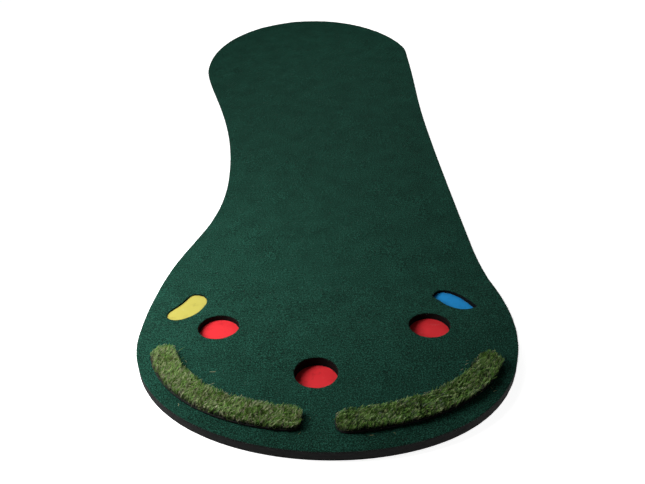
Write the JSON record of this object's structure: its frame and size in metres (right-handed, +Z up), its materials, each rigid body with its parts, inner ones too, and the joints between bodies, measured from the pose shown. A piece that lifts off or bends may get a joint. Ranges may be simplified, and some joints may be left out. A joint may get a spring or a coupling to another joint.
{
  "type": "practice putting mat",
  "caption": "Kidney-shaped felt putting green that climbs a foam ramp to round cups, with sand and water inlays and lift-off strips of long grass.",
  "frame": {"origin": "on the ground under the middle of the mat's bounding box", "axes": "+Z up, +Y from the cup end towards the tee end where the player stands, +X to the right when looking from the cup end to the tee end"},
  "size_m": [0.914, 2.743, 0.0513],
  "materials": {
    "green_felt": "needle-punched felt, matt, mottled",
    "black_foam": "closed-cell foam, cut edge, matt",
    "backing_rubber": "foamed non-slip rubber, dimpled, matt",
    "red_floor": "dyed felt sheet, satin",
    "yellow_floor": "dyed felt sheet, matt",
    "blue_floor": "dyed felt sheet, matt",
    "long_grass": "polyethylene blades over curled thatch",
    "strip_backing": "latex-coated tufting cloth, matt",
    "hook_nylon": "moulded nylon hooks"
  },
  "bodies": {
    "mat": {"nonslip_backing": "backing_rubber", "foam_wedge": "black_foam", "foam_underlay": "black_foam", "turf_sheet": "green_felt", "front_cup_floor": "red_floor", "left_cup_floor": "red_floor", "right_cup_floor": "red_floor", "sand_floor": "yellow_floor", "water_floor": "blue_floor"},
    "left_rough": {"left_rough_pile": "long_grass", "left_rough_backing": "strip_backing", "left_rough_hook_dot_1": "hook_nylon", "left_rough_hook_dot_2": "hook_nylon", "left_rough_hook_dot_3": "hook_nylon"},
    "right_rough": {"right_rough_pile": "long_grass", "right_rough_backing": "strip_backing", "right_rough_hook_dot_1": "hook_nylon", "right_rough_hook_dot_2": "hook_nylon", "right_rough_hook_dot_3": "hook_nylon"}
  },
  "joints": [
    {"name": "left_rough_lift", "type": "slide", "parent": "mat", "child": "left_rough", "axis": [0, 0, 1], "range_m": [0, 0.3]},
    {"name": "right_rough_lift", "type": "slide", "parent": "mat", "child": "right_rough", "axis": [0, 0, 1], "range_m": [0, 0.3]}
  ]
}
